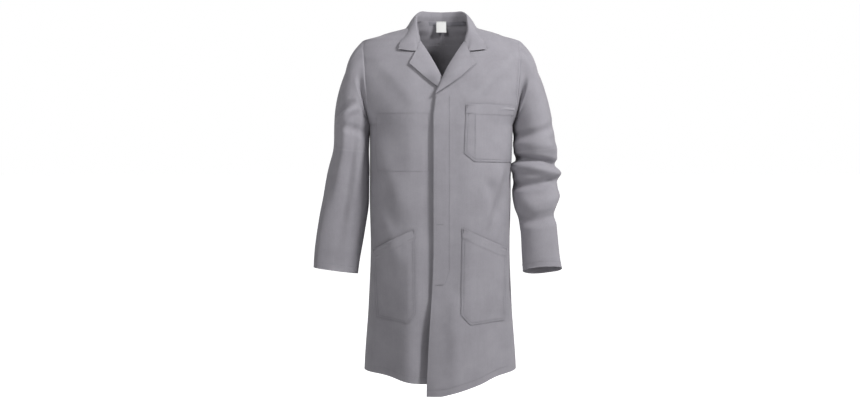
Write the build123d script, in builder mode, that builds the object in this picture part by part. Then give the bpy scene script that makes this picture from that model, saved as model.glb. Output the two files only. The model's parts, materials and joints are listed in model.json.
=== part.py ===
"""Work-style lab coat, closed, as it hangs on a wearer.

+Z is up, the coat's front faces -Y and the wearer's left is +X. The origin is at the base of the neck,
midway between the two shoulders, where a hanger or a wearer's shoulders carry the coat. Cloth pieces
are plain closed shells, each a layer of one torso form or of one sleeve form. Millimetres.
"""
import math
import os

from build123d import *

os.makedirs("parts", exist_ok=True)

# Driving dimensions
CLOTH = 2.5  # wall of a main panel
LINING = 1.4  # wall of a patch, facing or collar layer
GAP = 0.4  # air between neighbouring layers
SEAM = 0.6  # air between two panels at a seam
HEM_SIDE = -1022  # hem height at the side seams
HEM_BACK = -1016
LEFT_DROP = -1060  # hem height at the left front's edge
RIGHT_DROP = -1040
SEAM_TURN = 0.15  # degrees of air between a front and the back at a side seam
SEAM_Y = 6  # the shoulder and side seams lie in this plane
UNDERLAP = 9.4  # the right front runs this far behind the left one
LEFT_EDGE = 27  # the left front laps past the centre by this much
RIGHT_EDGE = 22
BREAK = -196  # height where the lapels roll open
GORGE = (64, -46)  # where lapel, collar and roll line meet, in front view
NOTCH = (76, -77)
SHOULDER_TIP = (234, -38)
UNDERARM = (214, -288)
FOLD_TOP = (112, -50)  # a front turns outwards along the line from here, in front view
FOLD_FOOT = (224, -1020)  # to here
YOKE = -84  # above this height a front stays with the shoulder, and the collar's ends lie on it
NECK_WELL = (70, 50)  # half width and half depth of the neck opening
NECK_Y = 12  # and its middle
ELBOW_BEND = 62  # degrees left open in front of the elbow for its fold
STUD_COUNT = 5
STUD_TOP = -238
STUD_PITCH = 123
STUD_RADIUS = 5.5

# Torso form: height, half width, half depth, middle in Y, share of a layer's growth that also lifts it
TORSO = [
    (-1070, 235, 159, -5, 0),
    (-288, 213, 139.6, 0, 0),
    (-225, 248, 131, 1, 0),
    (-150, 272, 118, 4, 0.1),
    (-95, 268, 99, 6, 0.4),
    (-50, 246, 76, 8, 0.8),
    (-20, 172, 66, 9, 1),
    (2, 100, 60, 10, 1),
    (28, 76, 54, 12, 0.3),
]

# Sleeve forms, wearer's left and right: centre, half depth, half width, run of the sleeve.
ARMHOLE = ((227, 6, -163), 65, 124, (0.997, 0, -0.08))
SLEEVE_HEAD = ((257, 4, -232), 77, 78, (0.86, 0, -0.51))
UPPER_ARM = ((272, 0, -330), 78, 50, (0.14, 0, -0.99))
LEFT_SLEEVE = [
    ARMHOLE,
    SLEEVE_HEAD,
    UPPER_ARM,
    ((289, -8, -420), 68, 58, (0.1, -0.1, -0.99)),
    ((297, -40, -570), 50, 59, (0, -0.22, -0.98)),
    ((295, -76, -712), 36, 58, (0, -0.26, -0.97)),
]
RIGHT_SLEEVE = [
    ARMHOLE,
    SLEEVE_HEAD,
    UPPER_ARM,
    ((282, -4, -420), 66, 58, (0.1, -0.04, -0.99)),
    ((296, -16, -570), 46, 68, (0.13, -0.08, -0.99)),
    ((317, -30, -722), 32, 67, (0.14, -0.08, -0.99)),
]
LEFT_ELBOW = (-8, -420)  # Y and height of the axis that an elbow bends about
RIGHT_ELBOW = (-4, -420)
RING_POINTS = 12  # points that each station's outline runs through
BELOW = -1200  # clear of the hem
BEYOND = 400  # clear of the coat on every side


def wall(outer, inner, start=180 + SEAM_TURN, sweep=180 - 2 * SEAM_TURN, back=0.0):
    """A layer of the torso form between two offsets from it, over a sweep of degrees."""
    with BuildPart() as shell:
        for height, half_width, half_depth, middle, lift in TORSO:
            with BuildSketch(Plane((0, middle + back, height + lift * outer))):
                with BuildLine():
                    rim = EllipticalCenterArc((0, 0), half_width + outer, half_depth + outer, start,
                                              arc_size=sweep)
                    lining = EllipticalCenterArc((0, 0), half_width + inner, half_depth + inner, start,
                                                 arc_size=sweep)
                    Line(rim @ 0, lining @ 0)
                    Line(rim @ 1, lining @ 1)
                make_face()
        loft(ruled=True)
    return shell.part


def front_prism(side, points):
    """A front-view outline, (x, z) points on the wearer's left or right, run out through the front."""
    with BuildPart() as prism:
        with BuildSketch(Plane.XZ.offset(-SEAM_Y)):
            with BuildLine():
                Polyline([(side * x, z) for x, z in points], close=True)
            make_face()
        extrude(amount=BEYOND)
    return prism.part


def hem_trim(front_drop):
    """Everything below the hem line, which falls from the back to the front edge."""
    front = -170
    with BuildPart() as trim:
        with BuildSketch(Plane.YZ):
            with BuildLine():
                Polyline((BEYOND, HEM_BACK), (SEAM_Y, HEM_SIDE), (front, front_drop), (-BEYOND, front_drop),
                         (-BEYOND, BELOW), (BEYOND, BELOW), close=True)
            make_face()
        extrude(amount=BEYOND, both=True)
    return trim.part


def armhole_trim(side):
    """Everything beyond the armhole's plane."""
    with BuildPart() as trim:
        with BuildSketch(Plane.XZ):
            with BuildLine():
                Polyline((side * SHOULDER_TIP[0], 60), (side * SHOULDER_TIP[0], SHOULDER_TIP[1]),
                         (side * UNDERARM[0], UNDERARM[1]), (side * BEYOND, UNDERARM[1]), (side * BEYOND, 60),
                         close=True)
            make_face()
        extrude(amount=BEYOND, both=True)
    return trim.part


def neck_trim():
    """The neck opening: a well down through the shoulders, and the V between the lapels' roll lines."""
    with BuildPart() as trim:
        with BuildSketch(Plane.XY.offset(-60)):
            with Locations((0, NECK_Y)):
                Ellipse(*NECK_WELL)
        extrude(amount=140)
        with BuildSketch(Plane.XZ.offset(-12)):
            with BuildLine():
                Polyline((-GORGE[0] - 16, 60), (-GORGE[0], GORGE[1]), (-LEFT_EDGE, BREAK), (LEFT_EDGE, BREAK),
                         (GORGE[0], GORGE[1]), (GORGE[0] + 16, 60), close=True)
            make_face()
        extrude(amount=BEYOND)
    return trim.part


def layer(outer, inner, prism, back=0.0):
    """The stretch of a front layer, from outer to inner, that a front-view prism covers."""
    with BuildPart() as patch:
        add(wall(outer, inner, back=back))
        add(prism, mode=Mode.INTERSECT)
    return patch.part


def fold_x(height):
    """Where the line that a front turns along stands in front view."""
    share = (FOLD_TOP[1] - height) / (FOLD_TOP[1] - FOLD_FOOT[1])
    return FOLD_TOP[0] + share * (FOLD_FOOT[0] - FOLD_TOP[0])


def write(piece, name):
    """Label a finished piece and write its file."""
    piece.part.label = name
    export_step(piece.part, f"parts/{name}.step")


# Back panels, sewn together down the centre back
for name, side, start in (("back_panel_left", 1, 0), ("back_panel_right", -1, 90)):
    with BuildPart() as back_panel:
        add(wall(0, -CLOTH, start, 90))
        add(hem_trim(LEFT_DROP), mode=Mode.SUBTRACT)
        add(armhole_trim(side), mode=Mode.SUBTRACT)
        add(neck_trim(), mode=Mode.SUBTRACT)
    write(back_panel, name)

# Layers through the closed front, as offsets from the outside of the left front
CAP_HEAD = 0.8  # a stud cap's head, between the front and the carrier
CAP_LAYER = -CLOTH - GAP
CARRIER = CAP_LAYER - CAP_HEAD - GAP
SOCKET_LAYER = CARRIER - LINING
PATCH = (GAP + LINING, GAP)
TACK = (PATCH[0] + GAP / 2 + LINING / 2, PATCH[0] + GAP / 2)
INSIDE = -CLOTH - GAP
STUD_HOLE = 1.6  # radius of the hole through each cloth layer at a stud
THROUGH = 30  # deep enough for those holes to pass every layer
stud_heights = [STUD_TOP - index * STUD_PITCH for index in range(STUD_COUNT)]
FLY_END = stud_heights[-1] - 26
FOOT = -1100
FRONT_WALL = wall(0, -CLOTH)


def stud_rounds(radius, near, far):
    """A round at each stud, along Y, from near to far behind the outside of the left front."""
    with BuildPart() as rounds:
        for height in stud_heights:
            lean = front_y(height - STUD_RADIUS) - front_y(height + STUD_RADIUS)
            inward = (0, 2 * STUD_RADIUS, lean)
            with BuildSketch(Plane((0, front_y(height), height), x_dir=(1, 0, 0), z_dir=inward).offset(near)):
                Circle(radius)
            extrude(amount=far - near)
    return rounds.part


def front_y(height):
    """Where the outside of the left front stands in Y on the centre line, at a height."""
    hits = FRONT_WALL.find_intersection_points(Axis((0, 0, height), (0, -1, 0)))
    return min(point.Y for point, _ in hits)


# Fronts: a panel that swings, and the part that stays with the shoulder, armhole and side seam
FRONTS = (("left", 1, 0, LEFT_EDGE, LEFT_DROP), ("right", -1, UNDERLAP, RIGHT_EDGE, RIGHT_DROP))
for word, side, back, edge, drop in FRONTS:
    swinging = [GORGE, (-edge + 2, BREAK - 4), (-edge, BREAK - 40), (-edge, -600), (-edge - 18, FOOT),
                (fold_x(FOOT), FOOT), (fold_x(YOKE), YOKE), (NOTCH[0], YOKE), NOTCH]
    staying = [(GORGE[0] + 1, 60), (GORGE[0] + 1, GORGE[1]), (NOTCH[0] + 1, NOTCH[1]),
               (NOTCH[0] + 1, YOKE + 1), (fold_x(YOKE) + SEAM, YOKE + 1), (fold_x(FOOT) + SEAM, FOOT),
               (BEYOND, FOOT), (BEYOND, 60)]
    with BuildPart() as front_panel:
        add(layer(0, -CLOTH, front_prism(side, swinging), back))
        add(hem_trim(drop), mode=Mode.SUBTRACT)
        if side < 0:
            add(stud_rounds(STUD_HOLE, 0, THROUGH), mode=Mode.SUBTRACT)
    write(front_panel, f"{word}_front_panel")

    with BuildPart() as front_side:
        add(layer(0, -CLOTH, front_prism(side, staying)))
        add(hem_trim(drop), mode=Mode.SUBTRACT)
        add(armhole_trim(side), mode=Mode.SUBTRACT)
        add(neck_trim(), mode=Mode.SUBTRACT)
    write(front_side, f"{word}_front_side")

# Facings line the front edges; the left one stops short of the fly
FLY_SIDE = RIGHT_EDGE + 6
left_strip = [(FLY_SIDE, BREAK - 30), (FLY_SIDE, FLY_END - SEAM), (-LEFT_EDGE, FLY_END - SEAM),
              (-LEFT_EDGE - 16, FOOT), (84, FOOT), (78, BREAK - 30)]
right_strip = [(-RIGHT_EDGE + 2, BREAK - 30), (-RIGHT_EDGE, -600), (-RIGHT_EDGE - 12, FOOT), (80, FOOT),
               (70, BREAK - 30)]
for word, side, back, strip, drop in (("left", 1, 0, left_strip, LEFT_DROP),
                                      ("right", -1, UNDERLAP, right_strip, RIGHT_DROP)):
    with BuildPart() as facing:
        add(layer(INSIDE, INSIDE - LINING, front_prism(side, strip), back))
        add(hem_trim(drop + 2), mode=Mode.SUBTRACT)
        if side < 0:
            add(stud_rounds(STUD_HOLE, 0, THROUGH), mode=Mode.SUBTRACT)
    write(facing, f"{word}_front_facing")

# Lapels, turned back over the chest along the roll lines
LAPEL = [(GORGE[0] + 1, GORGE[1] - 3), (NOTCH[0] - 1, NOTCH[1] - 2), (90, -113), (28, -172), (-12, -197),
         (-LEFT_EDGE + 4, BREAK - 3)]
for word, side, back in (("left", 1, 0), ("right", -1, UNDERLAP)):
    with BuildPart() as lapel:
        add(layer(GAP + LINING, GAP, front_prism(side, LAPEL), back))
    write(lapel, f"{word}_lapel")

# Fly: a carrier strip behind the left front's edge holds the stud caps and sockets out of sight
with BuildPart() as fly_carrier:
    near = -LEFT_EDGE + 4
    far = FLY_SIDE - SEAM
    strip = [(near, BREAK - 14), (near, FLY_END), (far, FLY_END), (far, BREAK - 14)]
    add(layer(CARRIER, SOCKET_LAYER, front_prism(1, strip)))
    add(stud_rounds(STUD_HOLE, 0, THROUGH), mode=Mode.SUBTRACT)
write(fly_carrier, "fly_carrier")

with BuildPart() as stud_caps:
    add(stud_rounds(STUD_RADIUS, -CAP_LAYER, -CARRIER - GAP))
    add(stud_rounds(STUD_HOLE - 0.5, -CARRIER - GAP, -SOCKET_LAYER + GAP))
write(stud_caps, "fly_stud_caps")

with BuildPart() as stud_sockets:
    add(stud_rounds(STUD_RADIUS, -SOCKET_LAYER + GAP, -SOCKET_LAYER + 2.2))
    add(stud_rounds(STUD_RADIUS / 2, -SOCKET_LAYER + 1, -SOCKET_LAYER + 3), mode=Mode.SUBTRACT)
write(stud_sockets, "fly_stud_sockets")

STUD_BASE = STUD_RADIUS - 0.5
STUD_PLATE = 0.7  # thickness of a stud's base plate
STUD_BACK = UNDERLAP - 0.6
with BuildPart() as studs:
    add(stud_rounds(STUD_BASE, STUD_BACK - STUD_PLATE, STUD_BACK))
    add(stud_rounds(1.9, STUD_BACK - 1.6, STUD_BACK - STUD_PLATE))
write(studs, "front_studs")

POST_BACK = UNDERLAP + CLOTH + GAP + LINING + 0.6
with BuildPart() as stud_posts:
    add(stud_rounds(STUD_BASE, POST_BACK, POST_BACK + STUD_PLATE))
    add(stud_rounds(STUD_HOLE - 0.6, STUD_BACK, POST_BACK))
write(stud_posts, "front_stud_posts")

# Patch pockets, and the inner breast pocket on the inside of the right front
CHEST_POCKET = [(66, -232), (205, -234), (205, -398), (93, -392), (67, -368)]
LEFT_POCKET = [(56, -580), (190, -646), (188, -858), (76, -855), (52, -826)]
RIGHT_POCKET = [(76, -582), (196, -650), (192, -848), (100, -853), (80, -826)]
INNER_POCKET = [(42, -256), (190, -256), (190, -420), (42, -420)]
with BuildPart() as chest_pocket:
    add(layer(*PATCH, front_prism(1, CHEST_POCKET)))
write(chest_pocket, "chest_pocket")
with BuildPart() as left_lower_pocket:
    add(layer(*PATCH, front_prism(1, LEFT_POCKET)))
write(left_lower_pocket, "left_lower_pocket")
with BuildPart() as right_lower_pocket:
    add(layer(*PATCH, front_prism(-1, RIGHT_POCKET), UNDERLAP))
write(right_lower_pocket, "right_lower_pocket")
with BuildPart() as inner_pocket:
    depth = INSIDE - LINING - GAP
    add(layer(depth, depth - LINING, front_prism(-1, INNER_POCKET), UNDERLAP))
write(inner_pocket, "inner_breast_pocket")

# Bartacks: tight bars of thread that hold each pocket's mouth
TACK_LONG = 9
TACK_WIDE = 2
LEFT_TACKS = ((68, -234), (200, -236), (58, -584), (184, -648))
RIGHT_TACKS = ((78, -586), (190, -652))


def tack(x, z):
    """Front-view outline of one bartack that hangs from a pocket's corner."""
    return [(x, z), (x + TACK_WIDE, z), (x + TACK_WIDE, z - TACK_LONG), (x, z - TACK_LONG)]


with BuildPart() as left_bartacks:
    for x, z in LEFT_TACKS:
        add(layer(*TACK, front_prism(1, tack(x, z))))
write(left_bartacks, "left_front_bartacks")
with BuildPart() as right_bartacks:
    for x, z in RIGHT_TACKS:
        add(layer(*TACK, front_prism(-1, tack(x, z)), UNDERLAP))
write(right_bartacks, "right_front_bartacks")

# Collar: a stand round the neck that folds over into a fall, with pointed ends on the chest
COLLAR_TOP = 56
COLLAR_HEM = 4
COLLAR_MIDDLE = 10  # in Y
COLLAR_FRONT = -14  # the ring ends here in Y, and its pointed ends carry on
COLLAR_WELL = (66, 46)  # half width and half depth of the neck inside the collar
COLLAR_END = [(GORGE[0] - 2, 14), (112, 9), (122, -72), (NOTCH[0] + 1.6, NOTCH[1] + 1),
              (GORGE[0] + 1.6, GORGE[1])]


def collar_ring(inset):
    """The folded collar, drawn in by inset on every side, over the back and sides of the neck."""
    with BuildPart() as ring:
        for height, half_width, half_depth in ((COLLAR_HEM, 109, 74), (COLLAR_TOP - inset, 76, 58)):
            with BuildSketch(Plane((0, COLLAR_MIDDLE, height))):
                Ellipse(half_width - inset, half_depth - inset)
        loft(ruled=True)
        with BuildSketch(Plane((0, COLLAR_MIDDLE, COLLAR_HEM - 1))):
            Ellipse(COLLAR_WELL[0] + inset, COLLAR_WELL[1] + inset)
        extrude(amount=COLLAR_TOP - COLLAR_HEM + 2, mode=Mode.SUBTRACT)
        with Locations((0, COLLAR_FRONT - BEYOND / 2, 0)):
            Box(BEYOND, BEYOND, BEYOND, mode=Mode.SUBTRACT)
    return ring.part


def collar_layer(outside, inside, offsets):
    """One cloth layer of the collar: the ring between two insets, and its two ends on the chest."""
    with BuildPart() as cloth:
        add(collar_ring(outside))
        add(collar_ring(inside), mode=Mode.SUBTRACT)
        with BuildSketch(Plane((0, COLLAR_MIDDLE, COLLAR_HEM - 1))):
            Ellipse(COLLAR_WELL[0] + 7, COLLAR_WELL[1] + 7)
        extrude(amount=24, mode=Mode.SUBTRACT)
        for side in (1, -1):
            add(layer(*offsets, front_prism(side, COLLAR_END)))
    return cloth


upper_collar = collar_layer(0, 1.6, (4.4, 2.8))
write(upper_collar, "upper_collar")
with BuildPart() as under_collar:
    add(collar_layer(2, 3.4, (2.4, 1)).part)
    add(upper_collar.part, mode=Mode.SUBTRACT)
write(under_collar, "under_collar")

# Neck tape over the neck seam, and the label that hangs in front of it
TAPE_LOW = 12
TAPE_WIDE = 7
TAPE_THICK = 1
TAPE_AIR = 1.5
with BuildPart() as neck_tape:
    with BuildSketch(Plane((0, NECK_Y, TAPE_LOW))):
        Ellipse(NECK_WELL[0] - TAPE_AIR, NECK_WELL[1] - TAPE_AIR)
        Ellipse(NECK_WELL[0] - TAPE_AIR - TAPE_THICK, NECK_WELL[1] - TAPE_AIR - TAPE_THICK,
                mode=Mode.SUBTRACT)
    extrude(amount=TAPE_WIDE)
    with Locations((0, -BEYOND / 2, 0)):
        Box(BEYOND, BEYOND, BEYOND, mode=Mode.SUBTRACT)
write(neck_tape, "neck_tape")

LABEL_Y = 54
LABEL_MIDDLE = 11  # height
with BuildPart() as neck_label:
    with BuildSketch(Plane.XZ.offset(-LABEL_Y)):
        with Locations((0, LABEL_MIDDLE)):
            Rectangle(30, 32)
    extrude(amount=0.6)
write(neck_label, "neck_label")


# Sleeves: an upper sleeve and a forearm sleeve, with a wedge at the front of the elbow that folds
def sleeve_form(stations, inset):
    """Solid along a sleeve's stations, drawn in by inset, made on the wearer's right."""
    with BuildPart() as form:
        for (x, y, z), half_depth, half_width, (run_x, run_y, run_z) in stations:
            run = Vector(-run_x, run_y, run_z).normalized()
            backward = Vector(0, 1, 0) - run * run.Y
            turns = [math.tau * step / RING_POINTS for step in range(RING_POINTS)]
            ring = [((half_depth - inset) * math.cos(turn), (half_width - inset) * math.sin(turn))
                    for turn in turns]
            with BuildSketch(Plane((-x, y, z), x_dir=backward, z_dir=run)):
                with BuildLine():
                    Spline(*ring, periodic=True)
                make_face()
        loft(ruled=True)
    return form.part


def elbow_side(elbow, angle, up, clear):
    """Side view of everything above or below an elbow, cut back by angle in front of it."""
    y, z = elbow
    way = 1 if up else -1
    level = z + way * clear
    front = y - BEYOND
    rise = way * BEYOND * math.tan(math.radians(angle))
    end = z + way * 3 * BEYOND
    with BuildPart() as block:
        with BuildSketch(Plane.YZ):
            with BuildLine():
                Polyline((BEYOND, level), (y, level), (front, level + rise), (front, end), (BEYOND, end),
                         close=True)
            make_face()
        extrude(amount=BEYOND, both=True)
    return block.part


def write_sleeve_piece(piece, word, name):
    """Write a sleeve piece, mirrored for the wearer's left."""
    with BuildPart() as placed:
        add(mirror(piece.part, about=Plane.YZ) if word == "left" else piece.part)
    write(placed, f"{word}_{name}")


for word, stations, elbow in (("left", LEFT_SLEEVE, LEFT_ELBOW), ("right", RIGHT_SLEEVE, RIGHT_ELBOW)):
    tube = sleeve_form(stations, 0) - sleeve_form(stations, CLOTH)
    with BuildPart() as upper_sleeve:
        add(tube)
        add(elbow_side(elbow, ELBOW_BEND / 2, True, 0), mode=Mode.INTERSECT)
    write_sleeve_piece(upper_sleeve, word, "upper_sleeve")
    with BuildPart() as forearm_sleeve:
        add(tube)
        add(elbow_side(elbow, ELBOW_BEND / 2, False, SEAM), mode=Mode.INTERSECT)
    write_sleeve_piece(forearm_sleeve, word, "forearm_sleeve")
    with BuildPart() as elbow_fold:
        add(tube)
        add(elbow_side(elbow, ELBOW_BEND / 2 - 0.5, True, 0), mode=Mode.SUBTRACT)
        add(elbow_side(elbow, ELBOW_BEND / 2 - 0.5, False, 0), mode=Mode.SUBTRACT)
    write_sleeve_piece(elbow_fold, word, "elbow_fold")
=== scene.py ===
"""A grey work-style lab coat, closed and hanging as on a wearer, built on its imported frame. Metres."""
import json
import math

import bpy
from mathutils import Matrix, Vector, noise


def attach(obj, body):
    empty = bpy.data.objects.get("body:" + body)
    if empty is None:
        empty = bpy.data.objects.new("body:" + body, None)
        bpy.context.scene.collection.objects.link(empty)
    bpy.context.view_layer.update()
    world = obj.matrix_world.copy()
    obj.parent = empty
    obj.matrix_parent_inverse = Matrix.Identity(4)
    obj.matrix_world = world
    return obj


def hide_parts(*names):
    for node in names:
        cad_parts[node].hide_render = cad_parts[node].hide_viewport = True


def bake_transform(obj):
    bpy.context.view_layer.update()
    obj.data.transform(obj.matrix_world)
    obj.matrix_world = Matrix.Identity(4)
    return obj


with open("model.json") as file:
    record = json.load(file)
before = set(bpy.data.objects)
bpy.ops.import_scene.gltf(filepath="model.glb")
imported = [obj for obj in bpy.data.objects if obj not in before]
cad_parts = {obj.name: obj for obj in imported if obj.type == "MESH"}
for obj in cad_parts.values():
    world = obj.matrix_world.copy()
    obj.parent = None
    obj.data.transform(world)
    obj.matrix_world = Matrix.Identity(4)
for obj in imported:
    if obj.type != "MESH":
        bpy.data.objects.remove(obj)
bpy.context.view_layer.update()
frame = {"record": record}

# ---- driving sizes, from the frame
RECORD = frame["record"]
JOINTS = {joint["name"]: joint for joint in RECORD["behaviour"]["joints"]}
LEFT, RIGHT = 1, -1
WORD = {LEFT: "left", RIGHT: "right"}
SHOULDER_X, _, SHOULDER_Z = JOINTS["left_arm_raise"]["pos_m"]
UNDERARM_X = 0.214
UNDERARM_Z = -0.288
ARMHOLE_ENDS = [SHOULDER_Z, SHOULDER_Z - 0.0006, UNDERARM_Z + 0.0006, UNDERARM_Z]
HEM_SIDE = -1.020
BREAK = Vector((-0.012, -0.197))  # where the lapels cross, x and z
GORGE = Vector((0.064, -0.047))  # where roll line, collar and lapel meet
NOTCH = Vector((0.076, -0.078))
LAPEL_TIP = Vector((0.091, -0.113))
COLLAR_TIP = Vector((0.122, -0.071))
NECK = Vector((0.078, 0.024))
NECK_TOP = 0.028  # upper edge of the body's cloth, under the collar
BELOW_ARM = -0.30  # just below the underarm, where the fronts start to flare
SLEEVE_SPLIT = -0.366  # the sleeve's two pieces meet here, on the upper arm
FREE_EDGE = -0.018  # both fronts' free edges stand this far past the centre line
FLY_X = 0.020  # the fly's line of stitches
FLY_FOOT = -0.742  # and where it ends
FREE_BELOW = -0.75  # the fronts hang free of each other below the last stud
FLOOR = -1.45
CLOTH = 0.0013
PI = math.pi


# ---- small maths
def mix(a, b, t):
    """The value a share t of the way from a to b."""
    return a + (b - a) * t


def shares(count):
    """Even shares from 0 to 1, both included."""
    return [step / count for step in range(count + 1)]


def ease(low, high, value):
    """0 below low, 1 above high and smooth between; works downwards too."""
    t = min(max((value - low) / (high - low), 0), 1)
    return t * t * (3 - 2 * t)


def bump(value, middle, half):
    """A smooth hill of height 1 at middle that has gone at half to each side."""
    return ease(1, 0, abs(value - middle) / half)


def catmull(values, t):
    """Smooth value at t (0 to 1) along a list of numbers or vectors at even steps."""
    span = t * (len(values) - 1)
    step = min(int(span), len(values) - 2)
    u = span - step
    b, c = values[step], values[step + 1]
    a = values[step - 1] if step else b * 2 - c
    d = values[step + 2] if step + 2 < len(values) else c * 2 - b
    square = (a * 2 - b * 5 + c * 4 - d) * u ** 2
    cube = (b * 3 - a - c * 3 + d) * u ** 3
    return (b * 2 + (c - a) * u + square + cube) * 0.5


def table(rows, key):
    """Smooth row of a table at a key, where each row starts with its key and the keys fall."""
    key = min(max(key, rows[-1][0]), rows[0][0])
    for upper, lower in zip(rows, rows[1:]):
        if key >= lower[0]:
            break
    t = (upper[0] - key) / (upper[0] - lower[0])
    t = t * t * (3 - 2 * t) * 0.5 + t * 0.5
    return [mix(p, q, t) for p, q in zip(upper[1:], lower[1:])]


def crease(x, z, start, end, width):
    """1 on the line from start to end in front view, fading out over width and towards its ends."""
    run = Vector(end) - Vector(start)
    rel = Vector((x, z)) - Vector(start)
    t = rel.dot(run) / run.length_squared
    if not -0.1 < t < 1.1:
        return 0
    off = abs(rel.x * run.y - rel.y * run.x) / run.length
    return math.exp(-(off / width) ** 2) * ease(-0.1, 0.25, t) * ease(1.1, 0.7, t)


# ---- the torso form
# height, half width on the wearer's left and right, half depth, middle in Y, squareness
TORSO = [
    (0.028, 0.076, 0.076, 0.054, 0.012, 2.0),
    (0.002, 0.100, 0.100, 0.060, 0.010, 2.0),
    (-0.020, 0.174, 0.176, 0.066, 0.009, 2.0),
    (-0.038, 0.233, 0.235, 0.0725, 0.0085, 2.0),
    (-0.060, 0.253, 0.255, 0.081, 0.0075, 2.0),
    (-0.095, 0.266, 0.268, 0.099, 0.006, 2.05),
    (-0.150, 0.268, 0.270, 0.118, 0.004, 2.1),
    (-0.225, 0.244, 0.246, 0.131, 0.001, 2.15),
    (-0.288, 0.212, 0.214, 0.139, 0.000, 2.2),
    (-0.450, 0.205, 0.213, 0.1436, -0.0010, 2.25),
    (-0.620, 0.206, 0.214, 0.1478, -0.0021, 2.2),
    (-0.820, 0.213, 0.221, 0.1528, -0.0034, 2.1),
    (-1.075, 0.226, 0.233, 0.1590, -0.0050, 2.05),
]


def section(z, side):
    """Half width on one side, half depth, middle and squareness at a height."""
    left, right, depth, middle, square = table(TORSO, z)
    return (left if side > 0 else right), depth, middle, square


def wave(x, y, z):
    """The cloth's soft unevenness all over the body."""
    place = Vector((x * 5, y * 5, z * 2.2))
    small = Vector((x * 16, y * 16 + 3, z * 9))
    return 0.0052 * noise.noise(place) + 0.0018 * noise.noise(small)


def armhole_x(z):
    """How far out the armhole seam stands at a height."""
    return mix(SHOULDER_X, UNDERARM_X, (SHOULDER_Z - z) / (SHOULDER_Z - UNDERARM_Z)) - 0.002


def form_point(side, angle, z):
    """Point on the body at an angle: 0 at the side, -90 degrees at the front, +90 at the back."""
    width, depth, middle, square = section(z, side)
    c, s = math.cos(angle), math.sin(angle)
    x = width * abs(c) ** (2 / square)
    y = middle + math.copysign(depth * abs(s) ** (2 / square), s)
    return Vector((side * x, y, z))


def angle_at(side, x, z):
    """The front angle where the body stands at x on that side; x may lie past the centre line."""
    width, _, _, square = section(z, side)
    share = min(max(side * x / width, -1), 1)
    turn = math.acos(min(abs(share) ** (square / 2), 1))
    return -turn if share >= 0 else turn - PI


# drag lines and slack of the fronts, on each side's own axis: start, end, width, how far each stands out
CREASES = {
    LEFT: [
        ((0.215, -0.07), (0.06, -0.24), 0.022, 0.0075),
        ((0.205, -0.13), (0.09, -0.25), 0.026, -0.0040),
        ((0.205, -0.30), (0.10, -0.55), 0.028, 0.0065),
        ((0.195, -0.42), (0.13, -0.60), 0.020, -0.0070),
        ((0.03, -0.62), (0.035, -1.03), 0.020, 0.0045),
        ((0.125, -0.44), (0.165, -0.56), 0.016, -0.0080),
        ((0.175, -0.40), (0.12, -0.60), 0.018, 0.0085),
    ],
    RIGHT: [
        ((0.215, -0.07), (0.06, -0.24), 0.022, 0.0030),
        ((0.205, -0.13), (0.09, -0.25), 0.026, -0.0016),
        ((0.205, -0.30), (0.10, -0.55), 0.028, 0.0065),
        ((0.195, -0.42), (0.13, -0.60), 0.020, -0.0070),
        ((0.03, -0.30), (0.045, -0.62), 0.014, -0.0060),
        ((0.17, -0.50), (0.12, -0.70), 0.030, 0.0070),
    ],
}


def front_folds(side, x, z):
    """How far the front's cloth stands out at a front-view point: drag lines, flare and slack."""
    across = side * x
    skirt = ease(-0.55, HEM_SIDE, z)
    lift = skirt * (0.0095 * math.sin(across * 26 + 0.5) + 0.004 * math.sin(across * 47 + z * 3))
    for start, end, width, height in CREASES[side]:
        lift += height * crease(across, z, start, end, width)
    return lift


def front_edge(side, z):
    """Front-view x of a front's free edge, on the side's own axis; past the centre it is negative."""
    if z > GORGE.y:
        return mix(GORGE.x, NECK.x, (z - GORGE.y) / (NECK.y - GORGE.y))
    if z > BREAK.y:
        t = (z - BREAK.y) / (GORGE.y - BREAK.y)
        return mix(FREE_EDGE, GORGE.x, t) - 0.006 * math.sin(PI * t)
    if side > 0:
        return FREE_EDGE - 0.007 * ease(BREAK.y, -0.27, z) - 0.019 * ease(-0.6, -1.06, z)
    return FREE_EDGE - 0.006 * ease(-0.6, -1.06, z)


def seam_wave(side, z):
    """The side seam's own slight waviness, shared by front and back."""
    return side * 0.003 * math.sin(z * 11) * ease(-0.3, -0.6, z)


def outward(spot):
    """Level direction out of the body at a point on it."""
    return Vector((spot.x * 0.45, spot.y - 0.002, 0)).normalized()


def front_point(side, x, z, out, angle=None):
    """Point on the outside of a front at front-view x (world) and height z, raised by out."""
    if angle is None:
        angle = angle_at(side, x, z)
    spot = form_point(side, angle, z)
    if side * x < 0:
        spot.x = x
    across = side * spot.x
    centre = ease(0.10, 0.03, across)
    free = ease(0.02, 0.6, abs(angle))
    # the fly is several layers thick, so it stays flat as far as its last stud
    fly = ease(0.07, 0.03, across) * ease(-0.16, -0.21, z) * ease(FREE_BELOW - 0.05, FREE_BELOW, z)
    slack = 1 - 0.9 * fly
    lift = out + (front_folds(side, spot.x, z) + wave(spot.x, spot.y, z)) * free * slack
    if side > 0:
        # below the last stud the left front swings a little forward at its edge
        lift += centre * 0.009 * ease(FREE_BELOW - 0.01, -1.05, z)
    else:
        # the right front runs behind the left one, and falls back below the last stud
        lift -= 0.0094 * centre + 0.026 * ease(0.12, 0.0, across) * ease(FREE_BELOW, -0.92, z)
    edge = Vector((seam_wave(side, z) * (1 - free), 0, 0))
    return spot + edge + outward(spot) * lift


def hem_z(side, x):
    """Height of a front's hem at front-view x: it drops from the side seam towards the centre."""
    across = min(max(side * x / 0.23, -0.25), 1)
    drop = 0.036 if side > 0 else 0.018
    share = max(across, 0)
    # the hem rises a little where the front turns away, so it looks straight from in front
    rise = 0.021 * (math.sqrt(1 - share ** 2) - (1 - share))
    return HEM_SIDE - drop * (1 - share) ** 1.1 + 0.012 * min(across, 0) * (side > 0) + rise


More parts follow.
